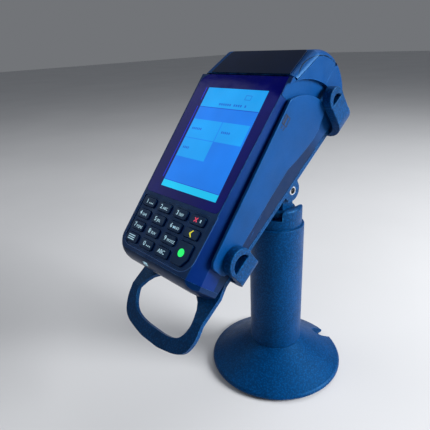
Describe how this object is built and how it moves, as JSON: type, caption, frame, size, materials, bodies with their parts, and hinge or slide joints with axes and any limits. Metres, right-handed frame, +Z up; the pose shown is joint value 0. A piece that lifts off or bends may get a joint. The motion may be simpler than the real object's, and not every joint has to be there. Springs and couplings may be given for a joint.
{
  "type": "card payment terminal on counter pole stand",
  "caption": "Card payment terminal with display, keypad, swipe slot and receipt printer, held in a tilting cradle on a swivelling pole with a round base.",
  "frame": {"origin": "on the pole axis, on the underside of the base that rests on the counter", "axes": "+Z up along the pole; +X across the terminal to the right of a person reading its display; the display faces -Y and up"},
  "size_m": [0.104, 0.1708, 0.2401],
  "materials": {
    "powder_coat": "fine textured powder coat, satin",
    "pad_rubber": "matte",
    "zinc_steel": "satin",
    "nylon": "satin",
    "foam_tape": "matte",
    "housing": "fine satin texture",
    "gloss_black": "gloss",
    "display": "lit display",
    "key_plastic": "satin",
    "silicone": "matte",
    "circuit_board": "satin",
    "battery_wrap": "satin",
    "inner_plastic": "matte",
    "roller_rubber": "matte",
    "thermal_paper": "matte",
    "magnet_head": "polished"
  },
  "bodies": {
    "stand": {"base_dish": "powder_coat", "base_pad": "pad_rubber", "pole_tube": "powder_coat", "pole_cap": "powder_coat"},
    "swivel": {"swivel_head": "powder_coat", "swivel_nut": "zinc_steel"},
    "terminal": {"tilt_bracket": "powder_coat", "tilt_pin": "zinc_steel", "friction_washers": "nylon", "holder_plate": "powder_coat", "grip_lower_right": "powder_coat", "grip_lower_left": "powder_coat", "grip_upper_right": "powder_coat", "grip_upper_left": "powder_coat", "holder_screws": "zinc_steel", "adhesive_pad": "foam_tape", "front_housing": "housing", "rear_housing": "housing", "card_slot_bezel": "housing", "battery_cover": "housing", "housing_screws": "zinc_steel", "display_lens": "gloss_black", "lcd_panel": "display", "antenna_board": "circuit_board", "keypad_mat": "silicone", "main_board": "circuit_board", "chip_card_reader": "inner_plastic", "battery_pack": "battery_wrap", "speaker": "inner_plastic", "swipe_rail": "housing", "drive_motor": "zinc_steel", "printer_frame": "zinc_steel", "print_head": "inner_plastic", "paper_bucket": "inner_plastic", "tear_bar": "zinc_steel", "lid_hinge_pin": "zinc_steel", "port_cover": "silicone"},
    "key_1": {"key_1": "key_plastic"},
    "key_2": {"key_2": "key_plastic"},
    "key_3": {"key_3": "key_plastic"},
    "key_cancel": {"key_cancel": "key_plastic"},
    "key_4": {"key_4": "key_plastic"},
    "key_5": {"key_5": "key_plastic"},
    "key_6": {"key_6": "key_plastic"},
    "key_clear": {"key_clear": "key_plastic"},
    "key_7": {"key_7": "key_plastic"},
    "key_8": {"key_8": "key_plastic"},
    "key_9": {"key_9": "key_plastic"},
    "key_menu": {"key_menu": "key_plastic"},
    "key_0": {"key_0": "key_plastic"},
    "key_alpha": {"key_alpha": "key_plastic"},
    "key_enter": {"key_enter": "key_plastic"},
    "magstripe_head": {"magstripe_head": "magnet_head"},
    "lid": {"printer_lid": "housing", "lid_plate": "gloss_black"},
    "platen": {"platen_roller": "roller_rubber", "platen_gear": "nylon"},
    "drive_gear": {"drive_gear": "nylon"},
    "motor_pinion": {"motor_pinion": "nylon"},
    "paper_roll": {"paper_roll": "thermal_paper"}
  },
  "joints": [
    {"name": "stand_swivel", "type": "hinge", "parent": "stand", "child": "swivel", "pos_m": [0, 0, 0.13], "axis": [0, 0, 1], "range_deg": [-165, 165]},
    {"name": "head_tilt", "type": "hinge", "parent": "swivel", "child": "terminal", "pos_m": [0, 0, 0.1496], "axis": [1, 0, 0], "range_deg": [-37, 38]},
    {"name": "key_1_press", "type": "slide", "parent": "terminal", "child": "key_1", "axis": [0, 0.7712, -0.6366], "range_m": [0, 0.001], "stiffness_N_per_m": 600, "springref_m": -0.0005},
    {"name": "key_2_press", "type": "slide", "parent": "terminal", "child": "key_2", "axis": [0, 0.7712, -0.6366], "range_m": [0, 0.001], "stiffness_N_per_m": 600, "springref_m": -0.0005},
    {"name": "key_3_press", "type": "slide", "parent": "terminal", "child": "key_3", "axis": [0, 0.7712, -0.6366], "range_m": [0, 0.001], "stiffness_N_per_m": 600, "springref_m": -0.0005},
    {"name": "key_cancel_press", "type": "slide", "parent": "terminal", "child": "key_cancel", "axis": [0, 0.7712, -0.6366], "range_m": [0, 0.001], "stiffness_N_per_m": 600, "springref_m": -0.0005},
    {"name": "key_4_press", "type": "slide", "parent": "terminal", "child": "key_4", "axis": [0, 0.7712, -0.6366], "range_m": [0, 0.001], "stiffness_N_per_m": 600, "springref_m": -0.0005},
    {"name": "key_5_press", "type": "slide", "parent": "terminal", "child": "key_5", "axis": [0, 0.7712, -0.6366], "range_m": [0, 0.001], "stiffness_N_per_m": 600, "springref_m": -0.0005},
    {"name": "key_6_press", "type": "slide", "parent": "terminal", "child": "key_6", "axis": [0, 0.7712, -0.6366], "range_m": [0, 0.001], "stiffness_N_per_m": 600, "springref_m": -0.0005},
    {"name": "key_clear_press", "type": "slide", "parent": "terminal", "child": "key_clear", "axis": [0, 0.7712, -0.6366], "range_m": [0, 0.001], "stiffness_N_per_m": 600, "springref_m": -0.0005},
    {"name": "key_7_press", "type": "slide", "parent": "terminal", "child": "key_7", "axis": [0, 0.7712, -0.6366], "range_m": [0, 0.001], "stiffness_N_per_m": 600, "springref_m": -0.0005},
    {"name": "key_8_press", "type": "slide", "parent": "terminal", "child": "key_8", "axis": [0, 0.7712, -0.6366], "range_m": [0, 0.001], "stiffness_N_per_m": 600, "springref_m": -0.0005},
    {"name": "key_9_press", "type": "slide", "parent": "terminal", "child": "key_9", "axis": [0, 0.7712, -0.6366], "range_m": [0, 0.001], "stiffness_N_per_m": 600, "springref_m": -0.0005},
    {"name": "key_menu_press", "type": "slide", "parent": "terminal", "child": "key_menu", "axis": [0, 0.7712, -0.6366], "range_m": [0, 0.001], "stiffness_N_per_m": 600, "springref_m": -0.0005},
    {"name": "key_0_press", "type": "slide", "parent": "terminal", "child": "key_0", "axis": [0, 0.7712, -0.6366], "range_m": [0, 0.001], "stiffness_N_per_m": 600, "springref_m": -0.0005},
    {"name": "key_alpha_press", "type": "slide", "parent": "terminal", "child": "key_alpha", "axis": [0, 0.7712, -0.6366], "range_m": [0, 0.001], "stiffness_N_per_m": 600, "springref_m": -0.0005},
    {"name": "key_enter_press", "type": "slide", "parent": "terminal", "child": "key_enter", "axis": [0, 0.7712, -0.6366], "range_m": [0, 0.001], "stiffness_N_per_m": 600, "springref_m": -0.0005},
    {"name": "magstripe_head_float", "type": "slide", "parent": "terminal", "child": "magstripe_head", "axis": [-1, 0, 0], "range_m": [0, 0.0008], "stiffness_N_per_m": 800, "springref_m": -0.0003},
    {"name": "lid_open", "type": "hinge", "parent": "terminal", "child": "lid", "pos_m": [0, 0.00905, 0.23248], "axis": [-1, 0, 0], "range_deg": [0, 88]},
    {"name": "drive_spin", "type": "hinge", "parent": "terminal", "child": "drive_gear", "pos_m": [0, -0.01697, 0.21595], "axis": [1, 0, 0], "continuous": true},
    {"name": "platen_spin", "type": "hinge", "parent": "lid", "child": "platen", "pos_m": [0, -0.01917, 0.22673], "axis": [1, 0, 0], "continuous": true},
    {"name": "pinion_spin", "type": "hinge", "parent": "terminal", "child": "motor_pinion", "pos_m": [0, -0.02577, 0.21119], "axis": [1, 0, 0], "continuous": true},
    {"name": "paper_roll_spin", "type": "hinge", "parent": "terminal", "child": "paper_roll", "pos_m": [0, 0.00034, 0.21062], "axis": [1, 0, 0], "continuous": true}
  ],
  "couplings": [
    {"joint": "platen_spin", "follows": "drive_spin", "ratio": -2.1429},
    {"joint": "pinion_spin", "follows": "drive_spin", "ratio": -3}
  ]
}
